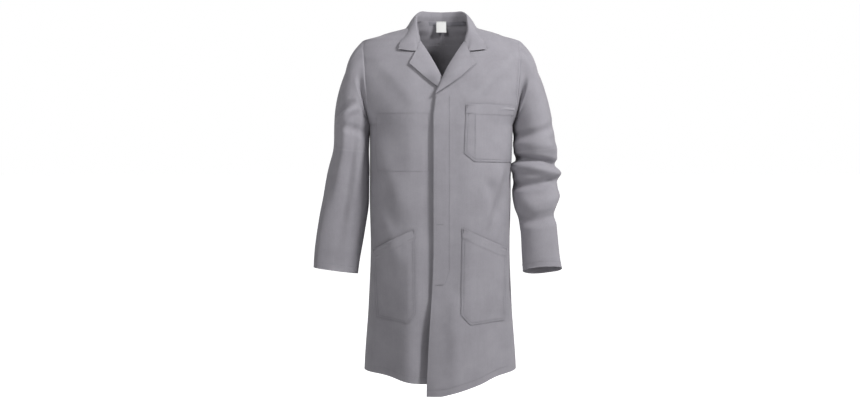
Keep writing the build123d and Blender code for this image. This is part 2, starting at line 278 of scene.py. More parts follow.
# ---- mesh tools
def add_mesh(name, points, faces):
    """A smooth-shaded object with this mesh."""
    mesh = bpy.data.meshes.new(name)
    mesh.from_pydata([tuple(p) for p in points], [], faces)
    mesh.polygons.foreach_set("use_smooth", [True] * len(mesh.polygons))
    mesh.update()
    piece = bpy.data.objects.new(name, mesh)
    bpy.context.scene.collection.objects.link(piece)
    return piece


def grid(rows, closed=False, flip=False):
    """Points and faces of a grid of equal rows; closed joins each row's end to its start."""
    count = len(rows[0])
    points = [p for row in rows for p in row]
    faces = []
    for r in range(len(rows) - 1):
        for c in range(count if closed else count - 1):
            d = (c + 1) % count
            quad = (r * count + c, r * count + d, (r + 1) * count + d, (r + 1) * count + c)
            faces.append(quad[::-1] if flip else quad)
    return points, faces


def thicken(piece, depth, offset):
    """Give a cloth piece its thickness, for good; offset -1 grows inwards and 1 outwards."""
    solid = piece.modifiers.new("thickness", "SOLIDIFY")
    solid.thickness = depth
    solid.offset = offset
    solid.use_even_offset = False
    graph = bpy.context.evaluated_depsgraph_get()
    mesh = bpy.data.meshes.new_from_object(piece.evaluated_get(graph))
    piece.modifiers.clear()
    piece.data = mesh
    mesh.polygons.foreach_set("use_smooth", [True] * len(mesh.polygons))
    mesh.set_sharp_from_angle(angle=math.radians(55))
    return piece


def cloth(name, rows, depth=CLOTH, closed=False, flip=False, offset=-1):
    """A sheet of cloth with its thickness, from rows of points."""
    return thicken(add_mesh(name, *grid(rows, closed, flip)), depth, offset)


# ---- materials
def node(tree, kind, **inputs):
    """A shader node with these inputs set."""
    made = tree.nodes.new(kind)
    for key, value in inputs.items():
        made.inputs[key.replace("_", " ")].default_value = value
    return made


def new_material(name):
    """A material, its node tree, its shader and the object coordinates that its patterns follow."""
    material = bpy.data.materials.new(name)
    material.use_nodes = True
    tree = material.node_tree
    place = tree.nodes.new("ShaderNodeTexCoord").outputs["Object"]
    return material, tree, tree.nodes["Principled BSDF"], place


def speckle(tree, place, **inputs):
    """A noise over the surface, from 0 to 1."""
    made = node(tree, "ShaderNodeTexNoise", **inputs)
    tree.links.new(place, made.inputs["Vector"])
    return made.outputs["Fac"]


def weigh(tree, sources):
    """The sum of the sources, each times its share."""
    total = None
    for source, share in sources:
        part = tree.nodes.new("ShaderNodeMath")
        part.operation = "MULTIPLY_ADD"
        part.inputs[1].default_value = share
        part.inputs[2].default_value = 0.0
        tree.links.new(source, part.inputs[0])
        if total:
            tree.links.new(total, part.inputs[2])
        total = part.outputs[0]
    return total


def ramp(tree, source, dark, light, low=0.0, high=1.0):
    """Colour from dark, where the source is low, to light, where it is high."""
    made = tree.nodes.new("ShaderNodeValToRGB")
    first, last = made.color_ramp.elements
    first.position, first.color = low, (*dark, 1)
    last.position, last.color = high, (*light, 1)
    tree.links.new(source, made.inputs["Fac"])
    return made.outputs["Color"]


def roughen(tree, shader, source, least, most):
    """Roughness that follows a source between two values."""
    span = node(tree, "ShaderNodeMapRange", To_Min=least, To_Max=most)
    tree.links.new(source, span.inputs["Value"])
    tree.links.new(span.outputs["Result"], shader.inputs["Roughness"])


def emboss(tree, shader, source, strength, distance):
    """Bumps that follow a source."""
    relief = node(tree, "ShaderNodeBump", Strength=strength, Distance=distance)
    tree.links.new(source, relief.inputs["Height"])
    tree.links.new(relief.outputs["Normal"], shader.inputs["Normal"])


def twill_ribs(tree, place, scale):
    """The weave's fine diagonal ribs."""
    turned = node(tree, "ShaderNodeMapping", Rotation=(0.0, math.radians(38), math.radians(12)))
    tree.links.new(place, turned.inputs["Vector"])
    ribs = node(tree, "ShaderNodeTexWave", Scale=scale / math.tau, Distortion=1.2)
    ribs.inputs["Detail Scale"].default_value = 3.0
    ribs.bands_direction = "X"
    tree.links.new(turned.outputs["Vector"], ribs.inputs["Vector"])
    return ribs.outputs["Fac"]


def fabric(name, dark, light, weave_scale=1150.0, weave_bump=0.35, rough=0.82, sheen=0.06, worn_by=1.06):
    """Twill: diagonal ribs, yarn-to-yarn colour, soft mottling and slightly paler ridges."""
    material, tree, shader, place = new_material(name)
    shader.inputs["Sheen Weight"].default_value = sheen
    shader.inputs["Sheen Roughness"].default_value = 0.5
    shader.inputs["Specular IOR Level"].default_value = 0.22
    ribs = twill_ribs(tree, place, weave_scale)
    yarn = speckle(tree, place, Scale=900.0, Detail=3.0, Roughness=0.6)
    mottle = speckle(tree, place, Scale=14.0, Detail=5.0, Roughness=0.62)
    upright = node(tree, "ShaderNodeMapping", Scale=(260.0, 260.0, 9.0))
    tree.links.new(place, upright.inputs["Vector"])
    streaks = speckle(tree, upright.outputs["Vector"], Scale=1.0, Detail=2.0)
    colour = ramp(tree, weigh(tree, ((mottle, 0.50), (streaks, 0.10), (yarn, 0.40))), dark, light, 0.32, 0.68)
    edges = tree.nodes.new("ShaderNodeNewGeometry").outputs["Pointiness"]
    worn = tree.nodes.new("ShaderNodeMix")
    worn.data_type = "RGBA"
    worn.inputs["B"].default_value = (*(min(1.0, c * worn_by) for c in light), 1)
    tree.links.new(colour, worn.inputs["A"])
    tree.links.new(ramp(tree, edges, (0, 0, 0), (1, 1, 1), 0.53, 0.72), worn.inputs["Factor"])
    tree.links.new(worn.outputs["Result"], shader.inputs["Base Color"])
    roughen(tree, shader, mottle, rough - 0.07, min(rough + 0.08, 1.0))
    emboss(tree, shader, weigh(tree, ((ribs, 1.0), (yarn, 1.0))), weave_bump, 0.0003)
    return material


def plated(name):
    """Nickel-plated studs, lightly brushed and dulled."""
    material, tree, shader, place = new_material(name)
    shader.inputs["Metallic"].default_value = 1.0
    grain = speckle(tree, place, Scale=700.0, Detail=4.0)
    tree.links.new(ramp(tree, grain, (0.42, 0.41, 0.39), (0.72, 0.71, 0.68)), shader.inputs["Base Color"])
    roughen(tree, shader, grain, 0.22, 0.45)
    emboss(tree, shader, grain, 0.12, 0.0002)
    return material


TWILL = fabric("grey_twill", (0.246, 0.237, 0.262), (0.330, 0.319, 0.350))
# the same twill painted darker for the facings, under collar, neck tape and inner pocket: painted shade, for
# the shadow inside the coat
SHADED_TWILL = fabric("grey_twill_inside_painted_shade", (0.180, 0.175, 0.197), (0.246, 0.240, 0.268))
# thread painted darker than the cloth: painted shade, for the shadow along the seams and pocket edges
SHADED_THREAD = fabric("sewing_thread_painted_shade", (0.172, 0.167, 0.186), (0.245, 0.238, 0.264), 5200.0, 0.4, 0.7, 0.1, 1.0)
LABEL = fabric("white_label", (0.74, 0.74, 0.73), (0.84, 0.84, 0.83), 2600.0, 0.15, 0.6, 0.05)
STUD = plated("nickel_studs")


def dress(piece, material):
    """Give a piece its material."""
    piece.data.materials.clear()
    piece.data.materials.append(material)
    return piece


# ---- baking each piece's placement into its mesh
def fold_blend(piece):
    """A piece on a front: its placement baked into its mesh."""
    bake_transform(piece)


def raise_blend(piece):
    """An upper sleeve: its placement baked into its mesh."""
    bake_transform(piece)


def elbow_blend(piece):
    """A lower sleeve: its placement baked into its mesh."""
    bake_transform(piece)


# ---- stitching
BAR_SIDES = 5
BAR_RINGS = ((-0.5, 0.35), (-0.3, 1.0), (0.3, 1.0), (0.5, 0.35))  # place along a stitch, and thickness


def stitches(name, paths, follow, length=0.0030, gap=0.0014, radius=0.00032):
    """Raised stitches along paths of (point, outward) pairs: each a short bar with five sides."""
    points, faces = [], []
    for path in paths:
        run = 0.0
        marks = []
        for (a, na), (b, nb) in zip(path, path[1:]):
            step = (b - a).length
            while run < step:
                t = run / step if step else 0
                marks.append((a.lerp(b, t), na.lerp(nb, t), (b - a).normalized()))
                run += length + gap
            run -= step
        for centre, out, forward in marks:
            side = forward.cross(out).normalized()
            up = out.normalized()
            base = len(points)
            for shift, size in BAR_RINGS:
                for corner in range(BAR_SIDES):
                    turn = math.tau * corner / BAR_SIDES
                    off = side * math.cos(turn) * radius * 1.2 + up * math.sin(turn) * radius
                    points.append(centre + forward * (shift * length) + off * size)
            for ring in range(len(BAR_RINGS) - 1):
                low = base + ring * BAR_SIDES
                high = low + BAR_SIDES
                for corner in range(BAR_SIDES):
                    following = (corner + 1) % BAR_SIDES
                    faces.append((low + corner, low + following, high + following, high + corner))
            last = base + (len(BAR_RINGS) - 1) * BAR_SIDES
            faces.append(tuple(base + corner for corner in reversed(range(BAR_SIDES))))
            faces.append(tuple(last + corner for corner in range(BAR_SIDES)))
    # the thread's darker colour is painted shade along the seams
    piece = dress(add_mesh(name, points, faces), SHADED_THREAD)
    follow(piece)
    return piece


def on_front(side, corners, out):
    """A stitch path over a front through front-view corners, raised by out."""
    step = 0.004
    path = []
    for start, end in zip(corners, corners[1:]):
        a, b = Vector(start), Vector(end)
        count = max(int((b - a).length / step), 1)
        for t in shares(count):
            spot = a.lerp(b, t)
            here = front_point(side, side * spot.x, spot.y, out)
            path.append((here, Vector((here.x * 0.45, here.y, 0)).normalized()))
    return path


# ---- body panels
def build_front(side):
    """One front, from its free edge to the side seam, with the armhole cut out of it."""
    heights = [NECK_TOP - 0.0052 * step for step in range(17)]
    heights += [mix(-0.0615, BELOW_ARM, t) for t in shares(32)]
    heights += [mix(-0.3075, HEM_SIDE, t) for t in shares(92)]
    heights = sorted(heights + ARMHOLE_ENDS, reverse=True)
    rows = []
    for level in heights:
        edge = front_edge(side, level)
        start = angle_at(side, side * edge, level)
        end = 0.0
        if UNDERARM_Z < level < SHOULDER_Z:
            end = min(angle_at(side, side * armhole_x(level), level), 0.0)
        row = []
        for s in shares(72):
            angle = mix(start, end, s)
            x = side * form_point(side, angle, level).x
            if angle < -PI / 2:
                x = mix(0.0, edge, (angle + PI / 2) / (start + PI / 2))
            fall = (hem_z(side, side * x) - HEM_SIDE) * ease(BELOW_ARM, HEM_SIDE, level)
            row.append(front_point(side, side * x, level + fall, 0.0, angle))
        rows.append(row)
    piece = cloth(f"{WORD[side]}_front", rows, flip=side > 0)
    dress(piece, TWILL)
    fold_blend(piece)
    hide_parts(f"{WORD[side]}_front_panel", f"{WORD[side]}_front_side")


def back_point(side, angle, z):
    """Point on the outside of the back at an angle (0 at the side seam) and height."""
    base = form_point(side, angle, z)
    across = abs(base.x)
    lift = wave(base.x, base.y, z)
    lift += 0.006 * ease(-0.5, -1.0, z) * math.sin(across * 30 + 1.2)
    lift += 0.005 * crease(across, z, (0.20, -0.25), (0.05, -0.55), 0.035)
    lift -= 0.004 * crease(across, z, (0.20, -0.33), (0.06, -0.68), 0.03)
    lift -= 0.0022 * math.exp(-(across / 0.004) ** 2)
    seam = base + Vector((seam_wave(side, z), 0, 0))
    return seam.lerp(base + outward(base) * lift, ease(0.0, 0.35, abs(angle)))


def build_back():
    """Both back panels as sewn: one sheet with the centre seam drawn in."""
    heights = [NECK_TOP - 0.0055 * step for step in range(14)]
    heights += [mix(-0.055, BELOW_ARM, t) for t in shares(30)]
    heights += [mix(-0.31, HEM_SIDE, t) for t in shares(80)]
    heights = sorted(heights + ARMHOLE_ENDS, reverse=True)
    half = shares(48)
    rows = []
    for level in heights:
        row = []
        for side, order in ((RIGHT, half), (LEFT, half[-2::-1])):
            start = 0.0
            if UNDERARM_Z < level < SHOULDER_Z:
                start = max(-angle_at(side, side * armhole_x(level), level), 0.0)
            for s in order:
                angle = mix(start, PI / 2, s)
                rise = 0.004 * ease(BELOW_ARM, HEM_SIDE, level) * math.sin(angle)
                row.append(back_point(side, angle, level + rise))
        rows.append(row)
    piece = cloth("coat_back", rows)
    dress(piece, TWILL)
    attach(piece, "coat")
    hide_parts("back_panel_left", "back_panel_right")


# ---- sleeves
# each ring down a sleeve: its middle, half depth, half width and the sleeve's direction there
LEFT_ARM = [
    ((0.250, 0.004, -0.205), 0.074, 0.083, (0.90, 0, -0.43)),
    ((0.268, 0.002, -0.275), 0.078, 0.064, (0.50, 0, -0.86)),
    ((0.277, 0.000, -0.345), 0.076, 0.0635, (0.12, 0, -0.99)),
    ((0.2805, -0.006, -0.420), 0.068, 0.0655, (0.02, -0.10, -0.99)),
    ((0.275, -0.022, -0.500), 0.058, 0.062, (0.02, -0.18, -0.98)),
    ((0.285, -0.044, -0.585), 0.048, 0.051, (0.06, -0.24, -0.97)),
    ((0.289, -0.060, -0.650), 0.042, 0.053, (0.04, -0.27, -0.96)),
    ((0.295, -0.077, -0.710), 0.037, 0.056, (0.04, -0.40, -0.92)),
]
RIGHT_ARM = [
    ((0.250, 0.004, -0.205), 0.074, 0.083, (0.90, 0, -0.43)),
    ((0.264, 0.002, -0.275), 0.078, 0.060, (0.50, 0, -0.86)),
    ((0.268, 0.000, -0.345), 0.076, 0.053, (0.12, 0, -0.99)),
    ((0.2765, -0.004, -0.420), 0.066, 0.0595, (0.10, -0.04, -0.99)),
    ((0.2855, -0.010, -0.500), 0.055, 0.0655, (0.12, -0.07, -0.99)),
    ((0.298, -0.018, -0.585), 0.044, 0.066, (0.14, -0.08, -0.99)),
    ((0.307, -0.025, -0.650), 0.037, 0.067, (0.14, -0.08, -0.99)),
    ((0.315, -0.030, -0.718), 0.032, 0.067, (0.14, -0.08, -0.99)),
]
RING = 96
ARMHOLE_MIDDLE = (SHOULDER_Z + UNDERARM_Z) / 2


def armhole_ring(side):
    """The armhole seam as a ring: turn 0 at the shoulder, half a turn at the underarm, front first."""
    ring = []
    half = (SHOULDER_Z - UNDERARM_Z) / 2
    for step in range(RING):
        turn = math.tau * step / RING
        z = ARMHOLE_MIDDLE + half * math.cos(turn)
        angle = min(angle_at(side, side * armhole_x(z), z), 0.0)
        z = min(max(z, UNDERARM_Z + 0.0005), SHOULDER_Z - 0.0005)
        if math.sin(turn) >= 0:
            ring.append(front_point(side, side * armhole_x(z), z, 0.0, angle))
        else:
            ring.append(back_point(side, -angle, z))
    return ring


# folds across the front of the sleeves: how much each leans, its height, half width, how far it stands
# out, and between which shares of facing forwards it fades in
SLEEVE_FOLDS = {
    # bunched above and below a slightly bent elbow
    LEFT: [
        (1.0, -0.394, 0.017, -0.018, -0.6, 0.3),
        (1.5, -0.423, 0.022, 0.013, -0.8, 0.2),
        (-1.0, -0.452, 0.022, -0.015, -0.5, 0.5),
        (-0.6, -0.556, 0.028, -0.012, -0.6, 0.6),
        (1.0, -0.350, 0.028, 0.007, -0.4, 0.8),
        (-2.0, -0.300, 0.022, -0.009, -0.2, 0.9),
    ],
    # dragged from the underarm
    RIGHT: [
        (1.3, -0.228, 0.021, -0.011, 0.2, 0.9),
        (1.3, -0.256, 0.024, 0.007, 0.2, 0.9),
        (-0.6, -0.292, 0.022, -0.006, 0.3, 1.0),
    ],
}


def sleeve_folds(side, turn, z):
    """How far a sleeve's cloth stands out at a turn round it (0 outer, a quarter front) and a height."""
    front = math.sin(turn)
    outer = math.cos(turn)
    lean = 0.010 * math.cos(turn + 0.6) if side > 0 else 0.030 * math.cos(turn + 0.3)
    lift = 0.0035 * math.sin(turn * 2 + z * 9) * ease(BELOW_ARM, -0.40, z)
    lift += 0.0034 * noise.noise(Vector((outer * 1.3, front * 1.3, z * 11 + side)))
    for leaning, middle, half, height, low, high in SLEEVE_FOLDS[side]:
        lift += height * bump(z + lean * leaning, middle, half) * ease(low, high, front)
    if side > 0:
        # the outside of the elbow bulges
        return lift + 0.010 * bump(z - lean * 1.4, -0.508, 0.034) * ease(-0.9, 0.2, outer + front * 0.4)
    # long soft folds run down to the cuff
    lift += 0.0075 * math.exp(-((turn - 1.55 - z * 0.9) / 0.24) ** 2) * bump(z, -0.40, 0.30)
    lift -= 0.0085 * math.exp(-((turn - 2.05 - z * 0.7) / 0.24) ** 2) * bump(z, -0.42, 0.34)
    return lift + 0.0045 * math.exp(-((turn - 0.75) / 0.22) ** 2) * ease(-0.38, -0.60, z)


def sleeve_head(side, first, hole, t):
    """Ring a share t of the way from the armhole seam to the first ring of the arm."""
    swell = 0.010 * math.sin(PI * t)
    out = Vector((side, 0, 0.35)).normalized()
    ring = []
    for seam, low in zip(hole, ring_points(side, *first, 0)):
        spot = seam.lerp(low, t)
        # cloth tucks in beside the lower half of the seam, in front and behind
        tuck = 0.015 * bump(t, 0.34, 0.30) * ease(-0.11, -0.19, seam.z) * ease(-0.283, -0.262, seam.z)
        spot.y -= math.copysign(tuck, seam.y)
        # the seam's folded edge stands a little proud of the body
        proud = 0.0012 * ease(0, 0.05, t) * ease(1, 0.3, t)
        spot += Vector((0, seam.y, seam.z - ARMHOLE_MIDDLE)).normalized() * proud
        fuller = ease(-0.10, -0.26, seam.z) * 0.2 + bump(seam.z, -0.06, 0.2)
        ring.append(spot + out * swell * fuller)
    return ring


def sleeve_ring(side, arm, share, hole):
    """Ring of a sleeve at a share of its length; near 0 it grows out of the armhole ring."""
    keys = [(Vector(middle), depth, width, Vector(run).normalized()) for middle, depth, width, run in arm]
    lead = 0.16
    if share < lead:
        return sleeve_head(side, keys[0], hole, share / lead)
    t = (share - lead) / (1 - lead)
    middle, depth, width, run = (catmull([key[part] for key in keys], t) for part in range(4))
    return ring_points(side, middle, depth, width, run.normalized(), ease(0, 0.08, t))


def ring_points(side, middle, depth, width, run, folds):
    """A ring of points square to run; folds is the share of the sleeve's folds that it shows."""
    ring = []
    out = Vector((-run.z, 0, run.x)).normalized()
    forward = run.cross(out).normalized()
    if forward.y > 0:
        forward = -forward
    for step in range(RING):
        turn = math.tau * step / RING
        flat = out * math.cos(turn) * width + forward * math.sin(turn) * depth
        spot = middle + flat
        lift = sleeve_folds(side, turn, spot.z) * folds
        spot = spot + flat.normalized() * lift
        ring.append(Vector((side * spot.x, spot.y, spot.z)))
    return ring


def ring_middle(ring):
    """The middle of a ring's points."""
    return sum(ring, Vector()) / RING


def build_sleeve(side, arm):
    """A sleeve in two pieces that meet on the upper arm."""
    hole = armhole_ring(side)
    rings = [sleeve_ring(side, arm, t, hole) for t in shares(150)]
    meet = next(i for i, ring in enumerate(rings) if ring[RING // 2].z < SLEEVE_SPLIT)
    word = WORD[side]
    # the hem folds up inside the cuff
    middle = ring_middle(rings[-1])
    up = (ring_middle(rings[-9]) - middle).normalized()
    inner = []
    for depth in (0.0006, 0.004, 0.012, 0.022):
        narrower = 1 - 0.035 * min(depth / 0.004, 1)
        inner.append([middle + (p - middle) * narrower + up * depth for p in rings[-1]])
    upper = cloth(f"{word}_sleeve_upper", rings[: meet + 1], closed=True, flip=side < 0)
    lower = cloth(f"{word}_sleeve_lower", rings[meet:] + inner, closed=True, flip=side < 0)
    for piece in (upper, lower):
        dress(piece, TWILL)
    raise_blend(upper)
    elbow_blend(lower)
    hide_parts(f"{word}_upper_sleeve")
    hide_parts(f"{word}_forearm_sleeve", f"{word}_elbow_fold")
    return rings, meet


# ---- lapels and collar
def build_lapel(side):
    """The lapel: the front's top turned back over the chest along its roll line."""
    word = WORD[side]
    rows = []
    corner = 0.80  # the share of the lapel's length up to its tip
    foot = Vector((front_edge(side, BREAK.y - 0.004), BREAK.y - 0.004))
    for r in shares(56):
        z = mix(foot.y, GORGE.y, r)
        inner = Vector((front_edge(side, z), z))
        if r < corner:
            outer = foot.lerp(LAPEL_TIP, r / corner)
            outer = outer + Vector((0.004, -0.003)) * math.sin(PI * r / corner)
        else:
            outer = LAPEL_TIP.lerp(NOTCH - Vector((0.0012, 0.0012)), (r - corner) / (1 - corner))
        row = []
        for s in shares(24):
            spot = inner.lerp(outer, s)
            rise = 0.0052 * (1 - math.exp(-s * 9)) + 0.0042 * math.sin(PI * s) * bump(r, 0.55, 0.6)
            rise += 0.0025 * ease(0.6, 1.0, s) * ease(0.3, 0.9, r)
            row.append(front_point(side, side * spot.x, spot.y, rise + 0.0008))
        rows.append(row)
    piece = cloth(f"{word}_lapel_cloth", rows, 0.0016, flip=side < 0, offset=0)
    dress(piece, TWILL)
    fold_blend(piece)
    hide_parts(f"{word}_lapel")
    return [(row[-2], Vector((0.2 * side, -1, 0)).normalized()) for row in rows]


def chest(side, x, z, out):
    """Point above a front, on the left side's axis."""
    spot = front_point(side, side * x, z, out)
    return Vector((abs(spot.x), spot.y, spot.z))


def collar_keys(side):
    """Cross-sections of the folded collar from the centre back to one front end, on the left's axis.

    Each runs from the neck seam up the stand, over the roll and down the fall to its edge."""
    ends = []
    for s in (0.0, 0.35, 0.7):
        ends.append(chest(side, mix(GORGE.x, NOTCH.x, s), mix(GORGE.y, NOTCH.y, s), 0.0062))
    ends.append(chest(side, NOTCH.x + 0.001, NOTCH.y + 0.0012, 0.0066))
    ends.append(chest(side, mix(NOTCH.x, COLLAR_TIP.x, 0.5), mix(NOTCH.y, COLLAR_TIP.y, 0.5), 0.0070))
    ends.append(chest(side, COLLAR_TIP.x, COLLAR_TIP.y, 0.0075))
    return [
        [(0, 0.066, 0.027), (0, 0.062, 0.044), (0, 0.064, 0.0560), (0, 0.073, 0.046), (0, 0.081, 0.018),
         (0, 0.086, -0.014)],
        [(0.036, 0.060, 0.027), (0.034, 0.055, 0.043), (0.036, 0.057, 0.0560), (0.045, 0.066, 0.045),
         (0.056, 0.076, 0.017), (0.062, 0.082, -0.013)],
        [(0.060, 0.042, 0.026), (0.058, 0.038, 0.042), (0.061, 0.040, 0.0545), (0.072, 0.048, 0.041),
         (0.084, 0.055, 0.015), (0.092, 0.060, -0.008)],
        [(0.072, 0.014, 0.020), (0.071, 0.010, 0.033), (0.0745, 0.011, 0.0400), (0.086, 0.014, 0.030),
         (0.099, 0.018, 0.010), (0.109, 0.020, -0.003)],
        [(0.074, -0.020, 0.006), (0.073, -0.022, 0.013), (0.0765, -0.023, 0.0180), (0.088, -0.022, 0.009),
         (0.102, -0.018, -0.008), (0.1135, -0.014, -0.0215)],
        [chest(side, 0.0700, -0.020, 0.004), chest(side, 0.0705, -0.019, 0.007),
         chest(side, 0.0735, -0.021, 0.0095), chest(side, 0.086, -0.031, 0.0095),
         chest(side, 0.104, -0.043, 0.0085), chest(side, 0.118, -0.050, 0.0070)],
        ends,
    ]


def build_collar():
    """The upper collar: one folded sheet right round the neck."""
    halves = {}
    for side in (LEFT, RIGHT):
        keys = [[Vector(p) for p in row] for row in collar_keys(side)]
        columns = []
        for t in shares(46):
            profile = [catmull([key[part] for key in keys], t) for part in range(len(keys[0]))]
            column = [catmull(profile, s) for s in shares(40)]
            columns.append([Vector((side * p.x, p.y, p.z)) for p in column])
        halves[side] = columns
    rows = list(reversed(halves[RIGHT])) + halves[LEFT][1:]
    piece = cloth("collar_cloth", rows, 0.0018, flip=True, offset=0)
    dress(piece, TWILL)
    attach(piece, "coat")
    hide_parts("upper_collar")
    return rows


# ---- camera, light and floor
def area_light(name, place, target, size, power):
    """A square lamp at a place, turned to its target."""
    lamp = bpy.data.lights.new(name, "AREA")
    lamp.size = size
    lamp.energy = power
    holder = bpy.data.objects.new(name, lamp)
    holder.location = place
    holder.rotation_euler = (Vector(target) - Vector(place)).to_track_quat("-Z", "Y").to_euler()
    bpy.context.scene.collection.objects.link(holder)


def build_camera(scene):
    """The camera stands in front of the coat, near the height of its elbows, and looks slightly down."""
    camera = bpy.data.cameras.new("camera")
    camera.sensor_width = 36
    camera.lens = 32.1
    holder = bpy.data.objects.new("camera", camera)
    holder.location = (-0.0345, -2.300, -0.360)
    holder.rotation_euler = (PI / 2 - math.radians(4.1), 0, 0)
    scene.collection.objects.link(holder)
    scene.camera = holder


def build_floor():
    """White paper that looks lit through, yet throws no light of its own on the coat."""
    reach = 30
    corners = [[Vector((x, y, FLOOR)) for x in (-reach, reach)] for y in (-reach, reach)]
    floor = add_mesh("studio_floor", *grid(corners))
    paper, tree, shader, _ = new_material("studio_paper")
    shader.inputs["Base Color"].default_value = (0.92, 0.92, 0.92, 1)
    shader.inputs["Roughness"].default_value = 0.95
    shader.inputs["Emission Color"].default_value = (1, 1, 1, 1)
    seen = tree.nodes.new("ShaderNodeLightPath").outputs["Is Camera Ray"]
    tree.links.new(weigh(tree, ((seen, 0.80),)), shader.inputs["Emission Strength"])
    floor.data.materials.append(paper)


def build_world(scene):
    """A white backdrop behind the coat, and a dimmer room in front of it."""
    world = bpy.data.worlds.new("studio")
    world.use_nodes = True
    tree = world.node_tree
    back = tree.nodes["Background"]
    place = tree.nodes.new("ShaderNodeTexCoord")
    parts = tree.nodes.new("ShaderNodeSeparateXYZ")
    tree.links.new(place.outputs["Generated"], parts.inputs["Vector"])
    tone = node(tree, "ShaderNodeMapRange", From_Min=-0.05, From_Max=0.80, To_Min=0.06, To_Max=1.0)
    tree.links.new(parts.outputs["Y"], tone.inputs["Value"])
    seen = tree.nodes.new("ShaderNodeLightPath")
    most = tree.nodes.new("ShaderNodeMath")
    most.operation = "MAXIMUM"
    tree.links.new(tone.outputs["Result"], most.inputs[0])
    tree.links.new(seen.outputs["Is Camera Ray"], most.inputs[1])
    tree.links.new(most.outputs[0], back.inputs["Strength"])
    back.inputs["Color"].default_value = (1, 1, 1, 1)
    scene.world = world


def build_studio():
    """Camera, backdrop, a key light from the upper right, a weaker one from the left, and the floor."""
    scene = bpy.context.scene
    build_camera(scene)
    build_world(scene)
    scene.view_settings.view_transform = "Standard"
    area_light("key", (1.9, -1.5, 1.4), (0, 0, -0.45), 0.6, 86)
    area_light("fill", (-0.7, -1.35, 0.60), (0, 0, -0.20), 0.6, 10)
    build_floor()


# ---- pockets
BAND = 0.027  # depth of the folded band under a pocket's mouth
FOOT_SHIFT = 0.005  # how far a pocket's inner side leans in by its foot
CHEST_MOUTH = ((0.066, -0.231), (0.205, -0.234))
LEFT_MOUTH = ((0.056, -0.580), (0.189, -0.646))
RIGHT_MOUTH = ((0.077, -0.582), (0.200, -0.650))


def line_z(line, x):
    """Height of a straight front-view line at x."""
    (x0, z0), (x1, z1) = line
    return mix(z0, z1, (x - x0) / (x1 - x0))


def pocket_bottom(x, inner, outer, chamfer, low, low_outer):
    """Height of a pocket's lower edge at x, with its inner corner cut off."""
    level = mix(low, low_outer, (x - inner) / (outer - inner))
    if x >= inner + chamfer[0]:
        return level
    return max(level, low + chamfer[1] * (1 - (x - inner) / chamfer[0]))


def build_pocket(node_name, side, mouth, outer_foot, chamfer, low, low_outer):
    """A patch pocket: stitched down on three sides, with a mouth that stands slightly open."""
    inner, outer = mouth[0][0], mouth[1][0]
    foot_inner = inner - FOOT_SHIFT
    rows = []
    for t in shares(84):
        row = []
        for s in shares(44):
            x = mix(mix(inner, foot_inner, t), mix(outer, outer_foot, t), s)
            top = line_z(mouth, mix(inner, outer, s))
            bottom = pocket_bottom(x, foot_inner, outer_foot, chamfer, low, low_outer)
            z = mix(top, bottom, t)
            rim = min(s, 1 - s, 1 - t)
            rise = 0.0017 + 0.0020 * ease(0.0, 0.22, rim) + 0.0022 * bump(s, 0.5, 0.5) * ease(0.35, 0.0, t)
            rise += 0.0013 * ease(BAND + 0.003, BAND - 0.001, top - z)
            row.append(front_point(side, side * x, z, rise))
        rows.append(row)
    # the mouth's hem is folded to the inside
    rows.insert(0, [p + Vector((0, 0.0012, 0.0006)) for p in rows[0]])
    rows.insert(0, [p + Vector((0, 0.0003, -0.012)) for p in rows[0]])
    piece = cloth(f"{node_name}_cloth", rows, 0.0011, flip=side > 0)
    dress(piece, TWILL)
    fold_blend(piece)
    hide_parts(node_name)
    return pocket_stitches(side, mouth, outer_foot, chamfer, low, low_outer)


def pocket_stitches(side, mouth, outer_foot, chamfer, low, low_outer):
    """A pocket's stitch lines: two round its edge and two along its mouth's band."""
    inner, outer = mouth[0][0], mouth[1][0]
    foot_inner = inner - FOOT_SHIFT
    paths = []
    for inset in (0.0018, 0.0072):
        corner = inset * 0.4
        edge = [
            (inner + inset, line_z(mouth, inner + inset) - 0.001),
            (foot_inner + inset, low + chamfer[1] + corner),
            (foot_inner + chamfer[0] + corner, low + inset),
            (outer_foot - inset, low_outer + inset),
            (outer - inset, line_z(mouth, outer - inset) - 0.001),
        ]
        paths.append(on_front(side, edge, 0.0030))
    for drop in (BAND - 0.002, 0.003):
        band = [(inner + 0.003, mouth[0][1] - drop), (outer - 0.003, line_z(mouth, outer - 0.003) - drop)]
        paths.append(on_front(side, band, 0.0048))
    return paths


def build_pockets():
    """The breast pocket and both lower ones; gives back each front's stitch lines."""
    left = build_pocket("chest_pocket", LEFT, CHEST_MOUTH, 0.203, (0.028, 0.024), -0.392, -0.396)
    # the pen slot's stitch line
    left.append(on_front(LEFT, [(0.091, -0.233), (0.091, -0.388)], 0.0050))
    left += build_pocket("left_lower_pocket", LEFT, LEFT_MOUTH, 0.187, (0.026, 0.030), -0.854, -0.857)
    right = build_pocket("right_lower_pocket", RIGHT, RIGHT_MOUTH, 0.193, (0.022, 0.028), -0.852, -0.848)
    return {LEFT: left, RIGHT: right}


def build_bartacks(side, tacks):
    """Dense bars of thread at the pocket mouths' corners and, on the left, across the fly."""
    paths = []
    for (x0, z0), (x1, z1), rise in tacks:
        paths.append(on_front(side, [(x0, z0), (x1, z1)], rise))
    piece = stitches(f"{WORD[side]}_bartacks_thread", paths, lambda made: fold_blend(made),
                     length=0.0022, gap=-0.0012, radius=0.0005)
    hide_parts(f"{WORD[side]}_front_bartacks")


def tack_down(mouth):
    """Two bars that hang from the ends of a pocket's mouth."""
    inset = 0.003
    ends = []
    for x in (mouth[0][0] + inset, mouth[1][0] - inset):
        top = line_z(mouth, x) - 0.002
        ends.append(((x, top), (x, top - 0.009), 0.0034))
    return ends


# ---- layers inside the fronts
INNER_POCKET_TOP = -0.256
INNER_POCKET_FOOT = -0.420


